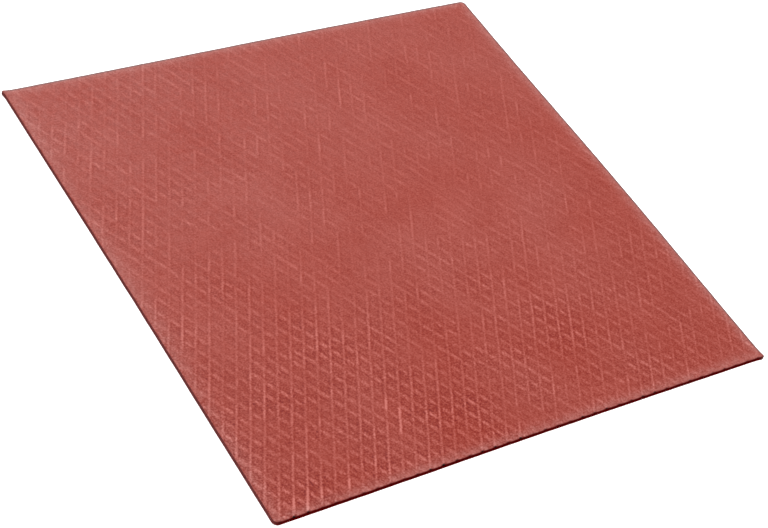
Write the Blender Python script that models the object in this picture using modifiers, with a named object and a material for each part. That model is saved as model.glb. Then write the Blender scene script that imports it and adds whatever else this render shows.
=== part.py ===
"""A thermal pad sheet: one square of soft, filled silicone, cut from flat stock and lying flat.

Metres, +Z up. The origin is the middle of the underside, with X and Y along the cut sides.
"""
import bpy

# Driving dimensions, in metres
SHEET_LENGTH = 0.100
SHEET_WIDTH = 0.100
SHEET_THICKNESS = 0.0010
CORNER_RADIUS = 0.0009
TOP_RIM_RADIUS = 0.00035
BOTTOM_RIM_RADIUS = 0.00015

# Each rim is rounded over less than half of the thickness, so a flat band of cut side is left between
RIM_SHARE_OF_THICKNESS = 0.45

# Steps in each rounding
CORNER_SEGMENTS = 8
TOP_RIM_SEGMENTS = 5
BOTTOM_RIM_SEGMENTS = 3

# The silicone: brick red (linear RGB), dull, not metallic
SILICONE_COLOR = (0.43, 0.095, 0.080, 1.0)
SILICONE_ROUGHNESS = 0.62
SILICONE_METALLIC = 0.0

# Two ends of an edge closer than this in plan are one above the other
PLAN_TOLERANCE = 1e-6


def clear_scene():
    """Remove every object that the file starts with."""
    for leftover in list(bpy.data.objects):
        bpy.data.objects.remove(leftover, do_unlink=True)


def start_collection(name):
    """A collection for the object's parts, made the active one so that new objects go into it."""
    collection = bpy.data.collections.new(name)
    bpy.context.scene.collection.children.link(collection)
    layers = bpy.context.view_layer.layer_collection.children
    bpy.context.view_layer.active_layer_collection = layers[collection.name]


def silicone_material():
    """Dull brick-red silicone with a ceramic filler."""
    material = bpy.data.materials.new("silicone")
    material.use_nodes = True
    shader = material.node_tree.nodes["Principled BSDF"]
    shader.inputs["Base Color"].default_value = SILICONE_COLOR
    shader.inputs["Roughness"].default_value = SILICONE_ROUGHNESS
    shader.inputs["Metallic"].default_value = SILICONE_METALLIC
    material.diffuse_color = SILICONE_COLOR
    return material


def weight_upright_edges(mesh):
    """Give the four upright edges a bevel weight of 1 and leave the others at 0."""
    weights = mesh.attributes.new("bevel_weight_edge", "FLOAT", "EDGE")
    for edge in mesh.edges:
        start, end = (mesh.vertices[index].co for index in edge.vertices)
        if (start.xy - end.xy).length < PLAN_TOLERANCE:
            weights.data[edge.index].value = 1.0


def group_faces_corners(sheet):
    """Two vertex groups, one for the corners of the top face and one for those of the underside."""
    top = sheet.vertex_groups.new(name="top_rim")
    bottom = sheet.vertex_groups.new(name="bottom_rim")
    for vertex in sheet.data.vertices:
        group = top if vertex.co.z > 0.0 else bottom
        group.add([vertex.index], 1.0, "REPLACE")


def round_edges(sheet, name, radius, segments, limit, group=""):
    """A Bevel modifier on the weighted edges, or on the edges inside one vertex group.

    Hardened normals keep the shading of the two large faces flat right up to their rims.
    """
    bevel = sheet.modifiers.new(name, "BEVEL")
    bevel.width = radius
    bevel.segments = segments
    bevel.limit_method = limit
    bevel.vertex_group = group
    bevel.harden_normals = True


def make_pad_sheet():
    """The sheet: a flat block with round corners in plan and a rolled rim above and below.

    The top rim is the softer of the two, because the embossing film pulls the surface down to the cut.
    """
    bpy.ops.mesh.primitive_cube_add(size=1.0, location=(0.0, 0.0, SHEET_THICKNESS / 2))
    sheet = bpy.context.object
    sheet.name = "pad_sheet"
    sheet.data.name = "pad_sheet"
    sheet.scale = (SHEET_LENGTH, SHEET_WIDTH, SHEET_THICKNESS)
    bpy.ops.object.transform_apply(location=False, rotation=False, scale=True)

    weight_upright_edges(sheet.data)
    group_faces_corners(sheet)
    largest_rim = SHEET_THICKNESS * RIM_SHARE_OF_THICKNESS
    top_radius = min(TOP_RIM_RADIUS, largest_rim)
    bottom_radius = min(BOTTOM_RIM_RADIUS, largest_rim)
    round_edges(sheet, "round_corners", CORNER_RADIUS, CORNER_SEGMENTS, "WEIGHT")
    round_edges(sheet, "round_top_rim", top_radius, TOP_RIM_SEGMENTS, "VGROUP", "top_rim")
    round_edges(sheet, "round_bottom_rim", bottom_radius, BOTTOM_RIM_SEGMENTS, "VGROUP", "bottom_rim")

    sheet.data.shade_smooth()
    sheet.data.materials.append(silicone_material())


clear_scene()
start_collection("thermal_pad_sheet")
make_pad_sheet()
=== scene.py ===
import math
import bmesh
import bpy
import numpy as np
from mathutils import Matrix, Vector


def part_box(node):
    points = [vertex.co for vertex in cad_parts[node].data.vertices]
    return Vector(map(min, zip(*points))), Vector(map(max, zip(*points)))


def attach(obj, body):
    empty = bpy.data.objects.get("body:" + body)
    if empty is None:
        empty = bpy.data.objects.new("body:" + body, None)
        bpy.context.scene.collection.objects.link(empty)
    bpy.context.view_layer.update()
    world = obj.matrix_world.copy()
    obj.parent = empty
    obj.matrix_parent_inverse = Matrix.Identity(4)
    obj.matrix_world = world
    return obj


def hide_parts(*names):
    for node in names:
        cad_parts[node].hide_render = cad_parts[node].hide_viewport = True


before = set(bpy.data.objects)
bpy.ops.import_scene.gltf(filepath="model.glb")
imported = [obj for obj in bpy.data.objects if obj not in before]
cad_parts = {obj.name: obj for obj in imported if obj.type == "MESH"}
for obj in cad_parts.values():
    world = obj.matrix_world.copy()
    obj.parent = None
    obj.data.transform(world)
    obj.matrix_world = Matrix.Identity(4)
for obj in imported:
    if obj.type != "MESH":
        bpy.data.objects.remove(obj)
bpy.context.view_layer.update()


# The camera looks down on the sheet's near corner from a little over three sheet lengths away, turned
# about its own axis, so that one diagonal of the sheet runs down the picture. Its angles, distance and
# lens were fitted to the sheet's four sides in the photograph.
VIEW_AZIMUTH = math.radians(44.806)      # from +Y towards +X
VIEW_ELEVATION = math.radians(43.495)
VIEW_ROLL = math.radians(19.056)
VIEW_DISTANCE = 0.33661
VIEW_TARGET = np.array([-0.00464, -0.00811, 0.0])
LENS_MM = 91.535
SENSOR_MM = 36.0


def place_camera(camera):
    """Turn and place a camera: its view axis has the azimuth and elevation, then it rolls about it."""
    level = math.cos(VIEW_ELEVATION)
    forward = np.array([math.sin(VIEW_AZIMUTH) * level, math.cos(VIEW_AZIMUTH) * level,
                        -math.sin(VIEW_ELEVATION)])
    level_right = np.array([math.cos(VIEW_AZIMUTH), -math.sin(VIEW_AZIMUTH), 0.0])
    level_up = np.cross(level_right, forward)
    right = level_right * math.cos(VIEW_ROLL) + level_up * math.sin(VIEW_ROLL)
    up = level_up * math.cos(VIEW_ROLL) - level_right * math.sin(VIEW_ROLL)
    turned = np.eye(4)
    turned[:3, 0], turned[:3, 1], turned[:3, 2] = right, up, -forward
    turned[:3, 3] = VIEW_TARGET - VIEW_DISTANCE * forward
    camera.matrix_world = turned.T


camera_data = bpy.data.cameras.new("photo_view")
camera_data.lens = LENS_MM
camera_data.sensor_width = SENSOR_MM
camera_data.clip_start = 0.01
camera = bpy.data.objects.new("photo_view", camera_data)
bpy.context.scene.collection.objects.link(camera)
place_camera(camera)
bpy.context.scene.camera = camera


# The table is a wide, white, matt top that runs out of the picture on all sides and gives off light of
# its own, which fills in the sheet's shadow. The rest of the light comes from a soft source behind the
# sheet, a large one overhead and pale walls.
FLOOR_HALF = 1.5
FLOOR_GAP = 0.00002
FLOOR_WHITE = (0.96, 0.96, 0.96, 1.0)
FLOOR_ROUGHNESS, FLOOR_GLOSS = 0.8, 0.2
FLOOR_GLOW = 0.75
WALL_LIGHT = 0.78


def make_floor():
    """The white table top, one large face just under the sheet."""
    mesh = bpy.data.meshes.new("table_top")
    corners = [(-FLOOR_HALF, -FLOOR_HALF), (FLOOR_HALF, -FLOOR_HALF),
               (FLOOR_HALF, FLOOR_HALF), (-FLOOR_HALF, FLOOR_HALF)]
    mesh.from_pydata([(x, y, -FLOOR_GAP) for x, y in corners], [], [(0, 1, 2, 3)])
    material = bpy.data.materials.new("white_table")
    material.use_nodes = True
    shader = material.node_tree.nodes["Principled BSDF"]
    shader.inputs["Base Color"].default_value = FLOOR_WHITE
    shader.inputs["Roughness"].default_value = FLOOR_ROUGHNESS
    shader.inputs["Specular IOR Level"].default_value = FLOOR_GLOSS
    shader.inputs["Emission Color"].default_value = FLOOR_WHITE
    shader.inputs["Emission Strength"].default_value = FLOOR_GLOW
    mesh.materials.append(material)
    floor = bpy.data.objects.new("table_top", mesh)
    bpy.context.scene.collection.objects.link(floor)


def add_softbox(name, azimuth, elevation, distance, size, watts):
    """A square soft light that faces the sheet. The azimuth turns from +X towards +Y, in degrees."""
    light = bpy.data.lights.new(name, "AREA")
    light.shape = "SQUARE"
    light.size = size
    light.energy = watts
    softbox = bpy.data.objects.new(name, light)
    turn, rise = math.radians(azimuth), math.radians(elevation)
    softbox.location = (distance * math.cos(turn) * math.cos(rise),
                        distance * math.sin(turn) * math.cos(rise), distance * math.sin(rise))
    softbox.rotation_euler = (math.pi / 2 - rise, 0.0, turn + math.pi / 2)
    bpy.context.scene.collection.objects.link(softbox)


make_floor()
add_softbox("softbox_behind", azimuth=71, elevation=36, distance=1.1, size=0.42, watts=6.0)
add_softbox("softbox_overhead", azimuth=250, elevation=80, distance=1.1, size=0.9, watts=7.5)
walls = bpy.data.worlds.new("pale_walls")
walls.use_nodes = True
walls.node_tree.nodes["Background"].inputs["Color"].default_value = (1.0, 1.0, 1.0, 1.0)
walls.node_tree.nodes["Background"].inputs["Strength"].default_value = WALL_LIGHT
bpy.context.scene.world = walls
bpy.context.scene.view_settings.view_transform = "Standard"


# The pad is one sheet of soft silicone filled with ceramic powder. It was cast between two films and cut
# with a steel rule die, and the upper film left its pattern: two sets of fine straight ridges that cross
# to make long diamonds. The ridges are taken to stand a few hundredths of a millimetre high.
low_corner, high_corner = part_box("pad_sheet")
HALF_LENGTH = (high_corner.x - low_corner.x) / 2
HALF_WIDTH = (high_corner.y - low_corner.y) / 2
THICKNESS = high_corner.z - low_corner.z
TOP_ROLL = 0.00035
BOTTOM_ROLL = 0.00015
# The near left, far left, near right and far right corners: the radius of each, and how far the blade
# pulled its tip out
CORNER_RADII = np.array([0.00102, 0.00042, 0.00042, 0.0011])
CORNER_PULLS = np.array([0.0, 0.00036, 0.00022, 0.0])
CORNER_PULL_REACH = 0.0009

# Each set of ridges. pitch: their spacing. square: the direction square to them, from +X. shift: place of
# the first one from the middle of the sheet, in spacings. stretch: how far the film had stretched at the
# sides, in spacings. foot, lip: how far the foot of a ridge and the far lip of the shallow groove beside
# it lie from the crest. height: the ridge's. wobble: how far, in spacings, the stretch between two
# crossings may lie to the side. spread: how much weaker one may be. vary, run: how much a stretch and a
# run of several vary besides. press: how well the film pressed the set (least, added at the near side,
# added at the left side, share of the near one lost at the right side). seed: of its random draws.
FALLING = {"pitch": 0.0022654, "square": math.radians(26.924), "shift": 0.168,
           "stretch": (-0.157, -0.139, -0.018), "foot": 0.00057, "lip": 0.00096, "height": 0.000040,
           "wobble": 0.085, "spread": 0.10, "vary": 0.14, "run": 0.05,
           "press": (0.27, 0.55, 0.21, 0.50), "seed": 5}
RISING = {"pitch": 0.0022742, "square": math.radians(-28.125), "shift": -0.230,
          "stretch": (-0.381, -0.062, 0.417), "foot": 0.00036, "lip": 0.00072, "height": 0.000038,
          "wobble": 0.02, "spread": 0.10, "vary": 0.22, "run": 0.12,
          "press": (0.21, 0.68, 0.29, 0.50), "seed": 8}
# A stretch's random value changes into the next one's within STEP_REACH spacings of a crossing
STEP_REACH = 0.18
RUN_STRETCHES = 3.0
FLAT_MIDDLE = 0.5
# Ridges drawn to each side of the middle one, enough to pass all four corners; how often the two
# equations are solved; and straight cuts to each round corner
LATTICE_REACH = 31
STRETCH_ROUNDS = 5
CORNER_STEPS = 6
# The random draws that each set makes: sideways, weaker, uneven, and uneven by the run
WOBBLE_DRAW, WEAK_DRAW, VARY_DRAW, RUN_DRAW = 100, 200, 300, 400
# How far past the outline the untrimmed grid reaches; how near a cut a point counts as on it; and how near
# to each other points on the trimmed edge are made one
GRID_MARGIN = 0.0012
CUT_TOLERANCE = 1e-7
EDGE_MERGE = 0.000008


def stretch_of(ridges, x, y):
    """The film's stretch in spacings: a x^2 + b x y + c y^2, with x and y as shares of the half side."""
    a, b, c = ridges["stretch"]
    u, v = x / HALF_LENGTH, y / HALF_WIDTH
    return a * u * u + b * u * v + c * v * v


def ridge_number(ridges, x, y):
    """How many spacings a point lies from the first ridge: distance square to the ridges over pitch."""
    across = x * math.cos(ridges["square"]) + y * math.sin(ridges["square"])
    return across / ridges["pitch"] + ridges["shift"] + stretch_of(ridges, x, y)


def mesh_lines(ridges):
    """Where mesh lines run across one set: whole numbers are crests, with lines along the feet and lips
    at both sides of them and one along the middle of the flat."""
    foot, lip = ridges["foot"] / ridges["pitch"], ridges["lip"] / ridges["pitch"]
    steps = np.array([-lip, -foot, 0.0, foot, lip, FLAT_MIDDLE])
    return (np.arange(-LATTICE_REACH, LATTICE_REACH + 1)[:, None] + steps[None, :]).ravel()


def along_stretches(ridges, nearest, along, kind):
    """A random value of 0 to 1 for each stretch of ridge between two crossings. It changes from one
    stretch's value to the next one's in a straight line over the crossing; kind gives another draw."""
    count = 2 * LATTICE_REACH + 3
    drawn = np.random.default_rng(ridges["seed"] + kind).uniform(0.0, 1.0, (count, count))
    row = np.clip(nearest + LATTICE_REACH + 1, 0, count - 1).astype(int)
    crossing = np.round(along)
    before = np.clip(crossing + LATTICE_REACH, 0, count - 2).astype(int)
    share = np.clip(0.5 + (along - crossing) / (2.0 * STEP_REACH), 0.0, 1.0)
    return drawn[row, before] * (1.0 - share) + drawn[row, before + 1] * share


def wobble_of(ridges, number, along):
    """How far, in spacings, the ridge nearest to a point lies to the side there: a random share of the
    most that it may, falling in a straight line to nothing at the middle of the flat."""
    nearest = np.round(number)
    aside = ridges["wobble"] * (2.0 * along_stretches(ridges, nearest, along, kind=WOBBLE_DRAW) - 1.0)
    return aside * (1.0 - 2.0 * np.abs(number - nearest))


def lattice_grid():
    """Points where mesh lines of the two sets cross: two linear equations for x and y, solved again
    with the stretch found at the last answer until it no longer moves."""
    falling, rising = np.meshgrid(mesh_lines(FALLING), mesh_lines(RISING), indexing="ij")
    falling, rising = (falling + wobble_of(FALLING, falling, rising),
                       rising + wobble_of(RISING, rising, falling))
    rows = [[math.cos(r["square"]) / r["pitch"], math.sin(r["square"]) / r["pitch"]]
            for r in (FALLING, RISING)]
    solve = np.linalg.inv(np.array(rows))
    x, y = np.zeros_like(falling), np.zeros_like(falling)
    for _ in range(STRETCH_ROUNDS):
        first = falling - FALLING["shift"] - stretch_of(FALLING, x, y)
        second = rising - RISING["shift"] - stretch_of(RISING, x, y)
        x = solve[0, 0] * first + solve[0, 1] * second
        y = solve[1, 0] * first + solve[1, 1] * second
    return x, y


def grid_faces(x, y, margin):
    """Quads of the grid whose every corner is within margin of the sheet, and the points they use."""
    number = np.arange(x.size).reshape(x.shape)
    quads = np.stack([number[:-1, :-1], number[:-1, 1:], number[1:, 1:], number[1:, :-1]], -1)
    inside = (np.abs(x) < HALF_LENGTH + margin) & (np.abs(y) < HALF_WIDTH + margin)
    quads = quads.reshape(-1, 4)[inside.ravel()[quads.reshape(-1, 4)].all(axis=1)]
    used, corners = np.unique(quads, return_inverse=True)
    points = np.stack([x.ravel()[used], y.ravel()[used], np.zeros(used.size)], -1)
    return points, corners.reshape(-1, 4)


def at_corner(values, x, y):
    """The value that belongs to the corner a point is nearest to, in the order of CORNER_RADII."""
    return values[2 * (x > 0.0) + (y > 0.0)]


def outline_cuts(inset):
    """Straight cuts that trim the grid to the sheet's outline, moved in by inset: for each angle round
    the sheet, the point of the rounded square that faces that way, and the way it faces."""
    quarter = np.linspace(0.0, math.pi / 2, CORNER_STEPS + 1)
    middles = (quarter[1:] + quarter[:-1]) / 2
    angles = np.concatenate([np.r_[0.0, middles] + turn * math.pi / 2 for turn in range(4)])
    facing = np.round(np.stack([np.cos(angles), np.sin(angles)], -1), 9)
    radius = at_corner(CORNER_RADII, facing[:, 0], facing[:, 1])
    core = np.array([HALF_LENGTH, HALF_WIDTH]) - radius[:, None]
    on_side = np.abs(facing).max(axis=1) == 1.0
    chord = (radius - inset) * np.where(on_side, 1.0, math.cos(math.pi / 4 / CORNER_STEPS))
    return np.sign(facing) * core + facing * chord[:, None], facing


def split_grid(top, place, way, clears):
    """Split the grid's faces along the straight line through place and square to way, and clear what
    lies beyond it if asked to."""
    everything = top.verts[:] + top.edges[:] + top.faces[:]
    bmesh.ops.bisect_plane(top, geom=everything, dist=CUT_TOLERANCE, plane_co=(*place, 0.0),
                           plane_no=(*way, 0.0), clear_outer=clears)


def trimmed_top(inset):
    """The grid of the top face, cut to the outline, with one more line along each side where the dust
    begins. Returns a bmesh, all of it still at height zero."""
    points, quads = grid_faces(*lattice_grid(), margin=GRID_MARGIN)
    mesh = bpy.data.meshes.new("top_grid")
    mesh.from_pydata(points, [], quads)
    top = bmesh.new()
    top.from_mesh(mesh)
    bpy.data.meshes.remove(mesh)
    for place, way in zip(*outline_cuts(inset)):
        split_grid(top, place, way, clears=True)
        if np.abs(way).max() == 1.0:
            split_grid(top, place - way * DUST_REACH, way, clears=False)
    bmesh.ops.remove_doubles(top, verts=[v for v in top.verts if v.is_boundary], dist=EDGE_MERGE)
    return top


# How the film pressed: every stretch of a ridge between two crossings came out a little different, now
# and then one much stronger, and the print of both sets fades in the same soft patches and towards the
# cut. Each diamond is dished by a few thousandths of a millimetre.
GROOVE_DEPTH = 0.20
# How much of a falling ridge a rising one's groove takes away, and the share of that it takes at least;
# and the share of the lower crest that comes off the higher one where two cross
CROSSED_LOSS, LEAST_CROSSED = 0.65, 0.5
CROSSING_LOSS = 0.3
# Where, from -1 at the near side to 1 at the far side, the strong near print starts to fade and is gone
NEAR_STEP_START, NEAR_STEP_END = -0.75, 0.05
PRESS_PATCH, PATCH_SEED = 0.42, 3
PATCH_LENGTHS = (0.033, 0.021, 0.015, 0.011, 0.008)
# Short creases on the rising ridges, left as the film was peeled off the near left corner: the ridge's
# number, and how far in from the near side the crease starts and ends
CREASES = ((-8, 0.0018, 0.0031), (-7, 0.0005, 0.0037), (-6, 0.0016, 0.0030), (-4, 0.0017, 0.0029),
           (-1, 0.0131, 0.0146), (0, 0.0084, 0.0123))
CREASE_HALF, CREASE_END, CREASE_HEIGHT = 0.00018, 0.00035, 1.4
DISH_DEPTH = 0.000006
# The tallest crest or crease, in full crests: it just reaches the sheet's full thickness
TALLEST = 1.3
PULL_DOWN, PULL_REACH = 0.00002, 0.0008
# For the near, far, left and right sides: how far the colour there is paled towards the milky red, and over
# what distance
MILKY_SIDES = {"near": (0.90, 0.0013), "far": (1.1, 0.0013), "left": (0.50, 0.0022),
               "right": (1.15, 0.0016)}
MILKY_LOSS = 0.25


def soft_patches(x, y, lengths, seed):
    """A smooth value of about -1 to 1: a sum of one sine wave for each length, in seeded directions."""
    rng = np.random.default_rng(seed)
    total = np.zeros_like(x)
    for length in lengths:
        turn, phase = rng.uniform(0.0, 2 * math.pi, 2)
        total += np.sin(2 * math.pi * (x * math.cos(turn) + y * math.sin(turn)) / length + phase)
    return total / math.sqrt(2 * len(lengths))


def side_distances(x, y):
    """Distance in from each of the four sides: half the side plus or minus the coordinate."""
    return {"near": y + HALF_WIDTH, "far": HALF_WIDTH - y,
            "left": x + HALF_LENGTH, "right": HALF_LENGTH - x}


def milkiness(x, y):
    """How milky the surface is, 0 to 1: for each side a bell curve of the distance in from it, and the
    largest of the four counts."""
    distance = side_distances(x, y)
    bells = [share * np.exp(-((np.maximum(distance[side], 0.0) / reach) ** 2))
             for side, (share, reach) in MILKY_SIDES.items()]
    return np.max(bells, axis=0)


def film_press(ridges, x, y):
    """How well the film pressed one set at a point, 0 to about 1: a least value, plus a share towards
    the near side as a cosine step, plus one that grows in a straight line over the left half; all times
    the soft patches, which both sets share, and times what the milky margin leaves."""
    least, near, left, right_loss = ridges["press"]
    u, v = x / HALF_LENGTH, y / HALF_WIDTH
    depth = np.clip((v - NEAR_STEP_START) / (NEAR_STEP_END - NEAR_STEP_START), 0.0, 1.0)
    near_share = (0.5 + 0.5 * np.cos(math.pi * depth)) * (1.0 - right_loss * np.maximum(u, 0.0))
    press = least + near * near_share + left * np.maximum(-u, 0.0)
    patches = 1.0 + PRESS_PATCH * soft_patches(x, y, PATCH_LENGTHS, seed=PATCH_SEED)
    return press * patches * (1.0 - MILKY_LOSS * milkiness(x, y))


def cross_section(ridges, distance):
    """The crest's share and the groove's share at a distance from the crest: the crest falls from 1 to 0
    at the foot in half a cosine wave, and the groove is deepest there and gone at the lip."""
    foot, lip = ridges["foot"], ridges["lip"]
    down = 0.5 + 0.5 * np.cos(math.pi * np.minimum(distance / foot, 1.0))
    up = 0.5 + 0.5 * np.cos(math.pi * np.clip((distance - foot) / (lip - foot), 0.0, 1.0))
    return down, (1.0 - down) * up


def uneven(drawn):
    """Turns an even random value of 0 to 1 into one of -1 to 2 with a mean of 0, mostly weak, now and
    then strong: three times its square, less 1."""
    return 3.0 * drawn ** 2 - 1.0


def stretch_strength(ridges, nearest, along, press):
    """The strength of each stretch of ridge: the press less a random share of the spread, plus uneven
    draws for the stretch and for the run that it is in, and never under nothing."""
    strength = press * (1.0 - ridges["spread"] * along_stretches(ridges, nearest, along, kind=WEAK_DRAW))
    strength = strength + ridges["vary"] * uneven(along_stretches(ridges, nearest, along, kind=VARY_DRAW))
    run = along_stretches(ridges, nearest, along / RUN_STRETCHES, kind=RUN_DRAW)
    return np.maximum(strength + ridges["run"] * uneven(run), 0.0)


def crease_strength(x, y):
    """How much the creases add at a point: for each, a bell curve of the distance from its ridge's crest,
    times one of how far the point lies beyond the crease's ends."""
    number, inward = ridge_number(RISING, x, y), y + HALF_WIDTH
    total = np.zeros_like(x)
    for ridge, start, end in CREASES:
        aside = (number - ridge) * RISING["pitch"]
        beyond = np.maximum(np.maximum(start - inward, inward - end), 0.0)
        total += np.exp(-((aside / CREASE_HALF) ** 2) - (beyond / CREASE_END) ** 2)
    return total


def ridge_relief(ridges, others, x, y):
    """One set at a point: the crest's and the groove's shares of its cross section, which is centred
    where the ridge wobbled to, and the strength of that stretch."""
    number, along = ridge_number(ridges, x, y), ridge_number(others, x, y)
    nearest = np.round(number)
    aside = number - nearest - wobble_of(ridges, number, along)
    crest, groove = cross_section(ridges, np.abs(aside) * ridges["pitch"])
    return crest, groove, stretch_strength(ridges, nearest, along, film_press(ridges, x, y))


def relief_share(x, y):
    """0 on the flat of a diamond, up to 1 and a little over on a crest, below 0 in a groove. The rising
    set was pressed deeper: its grooves cut through the falling ridges. Where two cross, the higher crest
    counts less a share of the lower one. The grooves are taken off and the creases are added."""
    crest, groove, strength = ridge_relief(RISING, FALLING, x, y)
    other_crest, other_groove, other_strength = ridge_relief(FALLING, RISING, x, y)
    cut = CROSSED_LOSS * groove * (LEAST_CROSSED + (1.0 - LEAST_CROSSED) * np.minimum(strength, 1.0))
    rising = crest * strength
    falling = other_crest * other_strength * (1.0 - cut) * FALLING["height"] / RISING["height"]
    higher = np.maximum(rising, falling) - CROSSING_LOSS * np.minimum(rising, falling)
    grooves = GROOVE_DEPTH * (groove * strength + other_groove * other_strength)
    return higher - grooves + CREASE_HEIGHT * crease_strength(x, y)


def inset_of(x, y):
    """Distance in from the rounded outline: radius minus the distance from the square of its centres."""
    radius = at_corner(CORNER_RADII, x, y)
    beyond = np.stack([np.abs(x) - HALF_LENGTH + radius, np.abs(y) - HALF_WIDTH + radius])
    outside = np.hypot(*np.maximum(beyond, 0.0))
    return radius - outside - np.minimum(beyond.max(axis=0), 0.0)


def top_offset(x, y):
    """How far the top lies under the full thickness: relief short of a full crest, plus each diamond's
    dish, plus a gentle pull down along the cut, which fades as a bell curve."""
    share = np.minimum(relief_share(x, y), TALLEST)
    across = np.sin(math.pi * ridge_number(FALLING, x, y)) * np.sin(math.pi * ridge_number(RISING, x, y))
    pull = PULL_DOWN * np.exp(-((inset_of(x, y) / PULL_REACH) ** 2))
    return RISING["height"] * (share - TALLEST) - DISH_DEPTH * across ** 2 - pull


# The cut side: rolled over at the top, slightly hollow where the blade pressed, and rolled under. The
# blade wandered, the soft sheet gave under it, so that each side bows by a tenth or two of a millimetre,
# and the ridges that run into the near cut left small nicks in its upper edge.
TOP_ROLL_STEPS, BOTTOM_ROLL_STEPS = 7, 3
SIDE_HOLLOW = 0.00002
UNDERSIDE_RING = 0.0004
KNIFE_WANDER = 0.00002
WANDER_LENGTHS, WANDER_SEED = (0.023, 0.011, 0.0061, 0.0037), 11
# The nicks' depth, drop and reach, and how much painted shadow darkens the rim's colour in each nick
NICK_DEPTH, NICK_DROP, NICK_REACH, NICK_PAINTED_SHADOW = 0.00008, 0.00005, 0.00033, 0.70
# Nicks lie only past this share of the half width, on the near side
NICKED_FROM = 0.98
# By side, near, far, left and right: the slope at which the rim's colour begins, from 0 where the flat
# ends to 1 on the cut side; and how much of it lies on the edge of the flat as dust
RIM_STARTS = (0.32, 0.0, 0.78, 0.0)
RIM_FADE = 0.28
EDGE_DUST = (0.0, 0.75, 0.0, 0.75)
DUST_REACH = 0.00036
SIDE_BLEND = 0.0003
# Also by side: the rim's colour, bright crimson, dusty mauve or brick, and the cut's, which is darker. The
# cut's colour is painted shade, darkest by far on the near cut, which faces away from the lights, and
# lighter on the left cut.
RIM_COLOURS = ((0.160, 0.002, 0.002), (0.105, 0.060, 0.060), (0.130, 0.030, 0.029), (0.105, 0.060, 0.060))
CUT_SHADE_COLOURS = ((0.024, 0.0004, 0.0003), (0.085, 0.022, 0.020), (0.090, 0.022, 0.021), (0.085, 0.022, 0.020))
# The share of the cut's colour, its painted shade, at the foot of the side, where the rest is the rim's, and
# the height over which a whole share is added to it
LOW_DARK, DARK_RISE = 0.3, 0.0009
# The cut side's own finish begins this many steps up the top roll
SIDE_LEAD_STEPS = 3
# For each side: how far it bows out at its fullest, where that is, how many half waves it runs over, and
# how far out it lies besides
SIDE_BOWS = {"near": (-0.00009, 0.10, 1.0, 0.00003), "far": (0.00009, 0.20, 1.0, 0.0),
             "left": (-0.00007, 0.0, 1.0, 0.00006), "right": (0.00017, -0.12, 1.15, 0.0)}
BOW_REACH = 0.006


def bowed(x, y):
    """Points moved with the sides' bows and the corners' pulls: for each side a cosine wave along it,
    times a bell curve of the distance in from that side; and straight out at each corner, times a bell
    curve of the distance from it."""
    u, v = x / HALF_LENGTH, y / HALF_WIDTH
    distance = side_distances(x, y)

    def push(side, along):
        fullest, place, waves, out = SIDE_BOWS[side]
        bow = out + fullest * np.cos(math.pi * (along - place) * waves)
        return bow * np.exp(-((distance[side] / BOW_REACH) ** 2))

    from_corner = np.hypot(np.abs(x) - HALF_LENGTH, np.abs(y) - HALF_WIDTH)
    pull = at_corner(CORNER_PULLS, x, y) * np.exp(-((from_corner / CORNER_PULL_REACH) ** 2)) / math.sqrt(2)
    return (x + push("right", v) - push("left", v) + np.sign(x) * pull,
            y + push("far", u) - push("near", u) + np.sign(y) * pull)


def rim_profile():
    """The rim from the top face down and in under the sheet: inset from the outline, height, the share
    of the top's relief that is left, and the slope, 0 on the flat and 1 on the cut side."""
    top = np.linspace(0.0, math.pi / 2, TOP_ROLL_STEPS + 1)
    bottom = np.linspace(0.0, math.pi / 2, BOTTOM_ROLL_STEPS + 1)
    side = (THICKNESS - TOP_ROLL + BOTTOM_ROLL) / 2
    inset = np.concatenate([TOP_ROLL * (1 - np.sin(top)), [SIDE_HOLLOW], BOTTOM_ROLL * (1 - np.cos(bottom)),
                            [BOTTOM_ROLL + UNDERSIDE_RING]])
    height = np.concatenate([THICKNESS - TOP_ROLL * (1 - np.cos(top)), [side],
                             BOTTOM_ROLL * (1 - np.sin(bottom)), [0.0]])
    relief = np.concatenate([np.cos(top), np.zeros(BOTTOM_ROLL_STEPS + 3)])
    slope = np.concatenate([top, [math.pi / 2], math.pi / 2 - bottom, [0.0]]) / (math.pi / 2)
    return inset, height, relief, slope


def nick_share(x, y):
    """1 where a rising ridge runs into the near cut and 0 away from it, as a bell curve of the distance.
    The other three sides were cut clean."""
    number = ridge_number(RISING, x, y)
    distance = np.abs(number - np.round(number)) * RISING["pitch"]
    strength = stretch_strength(RISING, np.round(number), ridge_number(FALLING, x, y), 1.0)
    return np.exp(-((distance / NICK_REACH) ** 2)) * strength * (y < -NICKED_FROM * HALF_WIDTH)


def by_side(values, x, y):
    """A value for each point from one for each side, near, far, left and right: their mean, weighted by
    e to the minus distance in from the side, so that it only changes over round the corners."""
    weights = np.exp(-np.stack(list(side_distances(x, y).values())) / SIDE_BLEND)
    return (weights / weights.sum(axis=0)).T @ np.array(values)


def edge_dust(x, y):
    """How much dust lies at a point of the top: the side's share along the roll, and from there in over
    the flat falling to nothing in a straight line."""
    return by_side(EDGE_DUST, x, y) * np.clip((TOP_ROLL - inset_of(x, y)) / DUST_REACH + 1.0, 0.0, 1.0)


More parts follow.
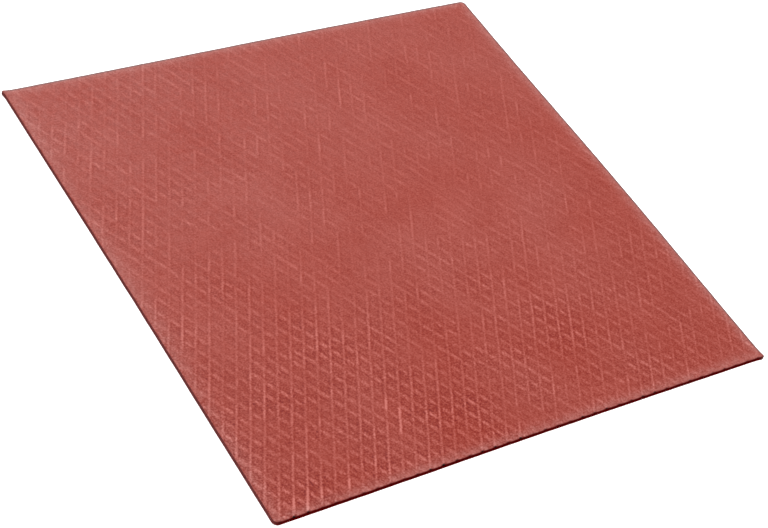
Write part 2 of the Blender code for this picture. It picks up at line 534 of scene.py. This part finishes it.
def rim_points(x, y):
    """Points of the rim under each point of the top's edge: out from the nearest centre of the rounded
    outline by radius minus inset, less the nicks, and wandering a little as the knife did."""
    radius = at_corner(CORNER_RADII, x, y)
    core = np.stack([np.clip(x, radius - HALF_LENGTH, HALF_LENGTH - radius),
                     np.clip(y, radius - HALF_WIDTH, HALF_WIDTH - radius)])
    way = np.stack([x, y]) - core
    way /= np.hypot(*way)
    inset, height, relief, slope = rim_profile()
    nick = nick_share(x, y)[None, :] * np.sin(np.linspace(0.0, math.pi, TOP_ROLL_STEPS + 2))[:, None]
    nick = np.concatenate([nick, np.zeros((len(inset) - len(nick), x.size))])
    wander = KNIFE_WANDER * soft_patches(x, y, WANDER_LENGTHS, WANDER_SEED)
    reach = radius - inset[:, None] - NICK_DEPTH * nick
    reach = reach + wander[None, :] * (inset[:, None] < TOP_ROLL)
    rim_x, rim_y = core[0] + way[0] * reach, core[1] + way[1] * reach
    rim_z = height[:, None] + relief[:, None] * top_offset(rim_x, rim_y) - NICK_DROP * nick
    climbed = np.clip((slope[:, None] - by_side(RIM_STARTS, x, y)[None, :]) / RIM_FADE, 0.0, 1.0)
    # Each nick is painted darker, as painted shadow
    shown_cut = np.minimum(climbed + NICK_PAINTED_SHADOW * nick, 1.0)
    # The share of the cut's colour, which is painted shade, and of the nicks' painted shadow
    dark = (slope * np.minimum(LOW_DARK + height / DARK_RISE, 1.0))[:, None]
    dark = np.maximum(dark, nick)[:, :, None]
    colour = by_side(RIM_COLOURS, x, y)[None] * (1.0 - dark) + by_side(CUT_SHADE_COLOURS, x, y)[None] * dark
    return np.stack([rim_x, rim_y, rim_z], -1), shown_cut, colour


def edge_loop(mesh):
    """The points on the open edge of a flat convex mesh, in order of their angle round the middle."""
    edge_of_corner = np.zeros(len(mesh.loops), dtype=np.int32)
    mesh.loops.foreach_get("edge_index", edge_of_corner)
    ends = np.zeros(2 * len(mesh.edges), dtype=np.int32)
    mesh.edges.foreach_get("vertices", ends)
    uses = np.bincount(edge_of_corner, minlength=len(mesh.edges))
    open_points = np.unique(ends.reshape(-1, 2)[uses == 1])
    place = np.zeros(3 * len(mesh.vertices))
    mesh.vertices.foreach_get("co", place)
    place = place.reshape(-1, 3)
    return open_points[np.argsort(np.arctan2(place[open_points, 1], place[open_points, 0]))], place


def face_arrays(mesh):
    """The corners of a mesh's faces one after another, and how many corners each face has."""
    corners = np.zeros(len(mesh.loops), dtype=np.int32)
    mesh.loops.foreach_get("vertex_index", corners)
    sizes = np.zeros(len(mesh.polygons), dtype=np.int32)
    mesh.polygons.foreach_get("loop_total", sizes)
    return corners, sizes


def make_pad():
    """The whole sheet as one closed mesh: the trimmed top, the rim under its edge and a flat underside.
    Five attributes go with it: ridge, 1 on a crest and under 0 in a groove; cut, how much of the rim's own
    colour and of the nicks' painted shadow shows; rim_colour, that colour, with the cut's painted shade on
    the rim; milky, 1 where the margin is paled most towards the milky red; and crisp, how well the film
    pressed.
    The cut side's faces take the second material."""
    top = trimmed_top(TOP_ROLL)
    flat = bpy.data.meshes.new("flat_top")
    top.to_mesh(flat)
    top.free()
    loop, place = edge_loop(flat)
    corners, sizes = face_arrays(flat)
    bpy.data.meshes.remove(flat)
    rim, cut, colour = rim_points(place[loop, 0], place[loop, 1])
    place[loop] = rim[0]
    inner = np.setdiff1d(np.arange(len(place)), loop)
    place[inner, 2] = THICKNESS + top_offset(place[inner, 0], place[inner, 1])

    rows, columns = rim.shape[:2]
    lower = len(place) + np.arange((rows - 1) * columns).reshape(rows - 1, columns)
    number = np.concatenate([loop[None, :], lower])
    after = np.roll(number, -1, axis=1)
    band = np.stack([number[:-1], number[1:], after[1:], after[:-1]], -1)
    points = np.concatenate([place, rim[1:].reshape(-1, 3)])
    corners = np.concatenate([corners, band.ravel(), number[-1, ::-1]])
    face_count = len(sizes)
    sizes = np.concatenate([sizes, np.full(band.shape[0] * columns, 4), [columns]])
    on_side = np.zeros(len(sizes), dtype=np.int32)
    on_side[face_count + (TOP_ROLL_STEPS - SIDE_LEAD_STEPS) * columns:face_count + (rows - 2) * columns] = 1

    ridge = relief_share(points[:, 0], points[:, 1])
    ridge[len(place):] *= np.repeat(rim_profile()[2][1:], columns)
    on_rim = np.concatenate([loop, np.arange(len(place), len(points))])
    shown_cut = edge_dust(points[:, 0], points[:, 1])
    shown_cut[on_rim] = np.maximum(shown_cut[on_rim], cut.ravel())
    rim_colour = np.ones((len(points), 4))
    rim_colour[:, :3] = by_side(RIM_COLOURS, points[:, 0], points[:, 1])
    rim_colour[on_rim, :3] = colour.reshape(-1, 3)
    milky = milkiness(points[:, 0], points[:, 1])
    crisp = sum(film_press(ridges, points[:, 0], points[:, 1]) for ridges in (FALLING, RISING)) / 2
    points[:, 0], points[:, 1] = bowed(points[:, 0], points[:, 1])

    mesh = bpy.data.meshes.new("embossed_pad")
    mesh.vertices.add(len(points))
    mesh.vertices.foreach_set("co", points.ravel())
    mesh.loops.add(len(corners))
    mesh.loops.foreach_set("vertex_index", corners)
    mesh.polygons.add(len(sizes))
    mesh.polygons.foreach_set("loop_start", np.cumsum(sizes) - sizes)
    mesh.polygons.foreach_set("material_index", on_side)
    mesh.update(calc_edges=True)
    for name, values in (("ridge", ridge), ("cut", shown_cut), ("milky", milky), ("crisp", crisp)):
        attribute = mesh.attributes.new(name, "FLOAT", "POINT")
        attribute.data.foreach_set("value", values.astype(np.float32))
    attribute = mesh.attributes.new("rim_colour", "FLOAT_COLOR", "POINT")
    attribute.data.foreach_set("color", rim_colour.astype(np.float32).ravel())
    mesh.shade_smooth()
    pad = bpy.data.objects.new("embossed_pad", mesh)
    bpy.context.scene.collection.objects.link(pad)
    return pad


# The silicone is brick red all through, with pale ceramic filler in it. It is painted deepest in the
# grooves, as painted shade, and palest on the ridges, which the film left dull, with a painted highlight on
# the crests besides, and in between by how much filler came up, in specks and in streaks drawn out along the
# falling ridges. The margins are paled towards a milky red, and the near cut is painted darkest, as painted
# shade.
MEAN_RED = np.array([170.5, 81, 71.5]) / 255
MEAN_MILKY = np.array([182, 109, 102]) / 255
# What this light does to the silicone's own colour: times the gain, plus a haze of its own
LIGHT_GAIN, LIGHT_HAZE = 1.5, 0.042
LIGHTEST_STEP, RED_STEPS = 44 / 255, 7
# How far each thing lightens the silicone, as a share of the lightest step. The ridges' share is partly the
# crests' own paler tone and partly painted highlight, and in the grooves it turns to painted shade.
FLAT_SHADE, RIDGE_TONE_AND_HIGHLIGHT, PRESSED_SHADE = 0.05, 0.60, -0.14
STREAK_SHADE, SPECK_SHADE, CLOUD_SHADE = 0.21, 0.38, 0.05
LEAST_GRAIN, RIDGE_GRAIN = 0.50, 0.25
# How fine each pattern is, in noise cells to the metre
SPECKS, STREAKS, RIDGE_SPECKS, CLOTS, CLOUDS = 3200.0, 2500.0, 1900.0, 900.0, 110.0
# Clots of filler in the milky margins: the least and the most that specks and clots each add
SPECK_CLOTS, BROAD_CLOTS = (0.25, 0.75), (0.05, 0.95)
# The silicone also went hazy in broad soft patches: cells to the metre, and how milky at most
HAZE_SCALE, HAZE = 48.0, 0.28
# The skin that the film left: cells of dullness to the metre, roughness from and to, gloss, and the fine
# grain's cells to the metre, strength and height
DULL_SPOTS, LEAST_ROUGH, MOST_ROUGH, TOP_GLOSS = 700.0, 0.50, 0.60, 0.22
SKIN_GRAIN, SKIN_STRENGTH, SKIN_HEIGHT = 3400.0, 0.8, 0.00003
STREAK_TURN = FALLING["square"] + math.pi / 2
STREAK_STRETCH = 2.6
NOISE_LOW, NOISE_HIGH = 0.3, 0.7


def red_at(lightness, mean):
    """The silicone's own colour where it looks that much lighter than the mean colour under this light.
    The step is added to red, green and blue alike as the eye sees them (the sRGB curve), then the haze
    that the light adds is taken off and the rest is divided by the light's gain."""
    seen = mean + lightness
    linear = np.where(seen > 0.04045, ((seen + 0.055) / 1.055) ** 2.4, seen / 12.92)
    return (*np.maximum((linear - LIGHT_HAZE) / LIGHT_GAIN, 0.0).tolist(), 1.0)


class Finish:
    """A material being wired up: each method adds one node and returns the socket it gives out."""

    def __init__(self, name):
        self.material = bpy.data.materials.new(name)
        self.material.use_nodes = True
        self.nodes, self.links = self.material.node_tree.nodes, self.material.node_tree.links
        self.shader = self.nodes["Principled BSDF"]
        self.place = self.nodes.new("ShaderNodeTexCoord").outputs["Object"]

    def stretched(self, turn, scale):
        """The place turned about the upright axis and divided by scale, which draws a pattern out."""
        node = self.nodes.new("ShaderNodeMapping")
        node.vector_type = "TEXTURE"
        node.inputs["Rotation"].default_value = (0.0, 0.0, turn)
        node.inputs["Scale"].default_value = scale
        self.links.new(self.place, node.inputs["Vector"])
        return node.outputs["Vector"]

    def noise(self, scale, detail, roughness=0.5, place=None):
        """Noise of about 0 to 1, with so many cells to the metre."""
        node = self.nodes.new("ShaderNodeTexNoise")
        node.inputs["Scale"].default_value = scale
        node.inputs["Detail"].default_value = detail
        node.inputs["Roughness"].default_value = roughness
        self.links.new(place or self.place, node.inputs["Vector"])
        return node.outputs["Fac"]

    def attribute(self, name, output="Fac"):
        """One of the mesh's own attributes."""
        node = self.nodes.new("ShaderNodeAttribute")
        node.attribute_name = name
        return node.outputs[output]

    def remap(self, value, low, high, to_low, to_high):
        """The value moved in a straight line from low and high to two other limits."""
        node = self.nodes.new("ShaderNodeMapRange")
        node.clamp = False
        for socket, limit in zip(("From Min", "From Max", "To Min", "To Max"), (low, high, to_low, to_high)):
            node.inputs[socket].default_value = limit
        self.links.new(value, node.inputs["Value"])
        return node.outputs["Result"]

    def math(self, kind, first, second):
        """Two values put through one arithmetic step."""
        node = self.nodes.new("ShaderNodeMath")
        node.operation = kind
        self.links.new(first, node.inputs[0])
        self.links.new(second, node.inputs[1])
        return node.outputs["Value"]

    def add(self, first, second):
        """First plus second."""
        return self.math("ADD", first, second)

    def multiply(self, first, second):
        """First times second."""
        return self.math("MULTIPLY", first, second)

    def mix(self, share, first, second, blend="MIX"):
        """Two colours blended: the first where share is 0, the second where it is 1."""
        node = self.nodes.new("ShaderNodeMix")
        node.data_type = "RGBA"
        node.blend_type = blend
        for name, value in (("Factor", share), ("A", first), ("B", second)):
            socket = next(s for s in node.inputs if s.name == name and s.enabled)
            if isinstance(value, (tuple, float)):
                socket.default_value = value
            else:
                self.links.new(value, socket)
        return next(s for s in node.outputs if s.enabled)

    def reds(self, shade, mean):
        """A run of reds from the darkest to the lightest step, equal steps apart to the eye."""
        node = self.nodes.new("ShaderNodeValToRGB")
        stops = node.color_ramp.elements
        for number in range(RED_STEPS):
            place = number / (RED_STEPS - 1)
            stop = stops[0] if number == 0 else stops[-1] if number == RED_STEPS - 1 else stops.new(place)
            stop.position = place
            stop.color = red_at((2.0 * place - 1.0) * LIGHTEST_STEP, mean)
        self.links.new(self.remap(shade, -1.0, 1.0, 0.0, 1.0), node.inputs["Fac"])
        return node.outputs["Color"]

    def bump(self, height, strength, distance):
        """Tilts the surface's shading by the slope of a height, for grain finer than the mesh."""
        node = self.nodes.new("ShaderNodeBump")
        node.inputs["Strength"].default_value = strength
        node.inputs["Distance"].default_value = distance
        self.links.new(height, node.inputs["Height"])
        self.links.new(node.outputs["Normal"], self.shader.inputs["Normal"])


def silicone_look():
    """Red silicone under the film: its shade is a sum of ridge, streaks, specks and clouds. The ridge term
    is partly the crests' own paler tone, partly a painted highlight on the crests, and painted shade in the
    grooves.
    Where the film pressed well the grain is stronger and the flats are deeper in colour. It turns to the
    milky red by milky margin times clots, plus haze, and to the rim's colour by the cut attribute, which
    carries the cut's painted shade and the nicks' painted shadow."""
    look = Finish("embossed_silicone")
    crisp = look.attribute("crisp")
    drawn = look.stretched(STREAK_TURN, (STREAK_STRETCH, 1.0, 1.0))
    specks, streaks = look.noise(SPECKS, 1.0, 0.5), look.noise(STREAKS, 2.0, 0.6, drawn)
    grain = look.add(look.remap(specks, NOISE_LOW, NOISE_HIGH, -SPECK_SHADE, SPECK_SHADE),
                     look.remap(streaks, NOISE_LOW, NOISE_HIGH, -STREAK_SHADE, STREAK_SHADE))
    grain = look.multiply(grain, look.remap(crisp, 0.0, 1.0, LEAST_GRAIN, 1.0))
    flat = look.remap(crisp, 0.0, 1.0, FLAT_SHADE, FLAT_SHADE + PRESSED_SHADE)
    # The ridge attribute paints the crests lighter, partly their own tone and partly a painted highlight,
    # and paints the grooves darker as painted shade.
    raised = look.remap(look.noise(RIDGE_SPECKS, 2.0, 0.6), NOISE_LOW, NOISE_HIGH,
                        RIDGE_TONE_AND_HIGHLIGHT * (1.0 - RIDGE_GRAIN), RIDGE_TONE_AND_HIGHLIGHT * (1.0 + RIDGE_GRAIN))
    raised = look.multiply(raised, look.attribute("ridge"))
    cloudy = look.remap(look.noise(CLOUDS, 3.0), NOISE_LOW, NOISE_HIGH, -CLOUD_SHADE, CLOUD_SHADE)
    shade = look.add(look.add(flat, raised), look.add(grain, cloudy))
    clots = look.add(look.remap(specks, NOISE_LOW, NOISE_HIGH, *SPECK_CLOTS),
                     look.remap(look.noise(CLOTS, 2.0), NOISE_LOW, NOISE_HIGH, *BROAD_CLOTS))
    haze = look.remap(look.noise(HAZE_SCALE, 2.0), NOISE_LOW, NOISE_HIGH, 0.0, HAZE)
    patchy = look.add(look.multiply(look.attribute("milky"), clots), haze)
    body = look.mix(patchy, look.reds(shade, MEAN_RED), look.reds(shade, MEAN_MILKY))
    body = look.mix(look.attribute("cut"), body, look.attribute("rim_colour", "Color"))
    look.links.new(body, look.shader.inputs["Base Color"])
    look.links.new(look.remap(look.noise(DULL_SPOTS, 3.0), NOISE_LOW, NOISE_HIGH, LEAST_ROUGH, MOST_ROUGH),
                   look.shader.inputs["Roughness"])
    look.shader.inputs["Specular IOR Level"].default_value = TOP_GLOSS
    look.bump(look.noise(SKIN_GRAIN, 4.0, 0.65), SKIN_STRENGTH, SKIN_HEIGHT)
    return look.material


# The marks of the blade on the cut side: cells to the metre, how far they are drawn out upright, how much
# they darken and lighten, roughness from and to, and their strength and height
BLADE_MARKS, BLADE_DRAW = 4200.0, 12.0
BLADE_DARKEST, BLADE_LIGHTEST = 0.75, 1.25
CUT_LEAST_ROUGH, CUT_MOST_ROUGH, CUT_GLOSS = 0.60, 0.75, 0.0
BLADE_STRENGTH, BLADE_HEIGHT = 0.4, 0.00002


def cut_look():
    """The cut side: each side's dull colour, which is painted shade, darkest on the near side, times fine
    upright marks of the blade.
    """
    look = Finish("cut_silicone")
    marks = look.stretched(0.0, (1.0, 1.0, BLADE_DRAW))
    blade = look.noise(BLADE_MARKS, 2.0, 0.6, marks)
    shade = look.remap(blade, NOISE_LOW, NOISE_HIGH, BLADE_DARKEST, BLADE_LIGHTEST)
    body = look.mix(1.0, look.attribute("rim_colour", "Color"), shade, "MULTIPLY")
    look.links.new(body, look.shader.inputs["Base Color"])
    look.links.new(look.remap(blade, NOISE_LOW, NOISE_HIGH, CUT_LEAST_ROUGH, CUT_MOST_ROUGH),
                   look.shader.inputs["Roughness"])
    look.shader.inputs["Specular IOR Level"].default_value = CUT_GLOSS
    look.bump(blade, BLADE_STRENGTH, BLADE_HEIGHT)
    return look.material


pad = make_pad()
pad.data.materials.append(silicone_look())
pad.data.materials.append(cut_look())
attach(pad, "root")
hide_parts("pad_sheet")
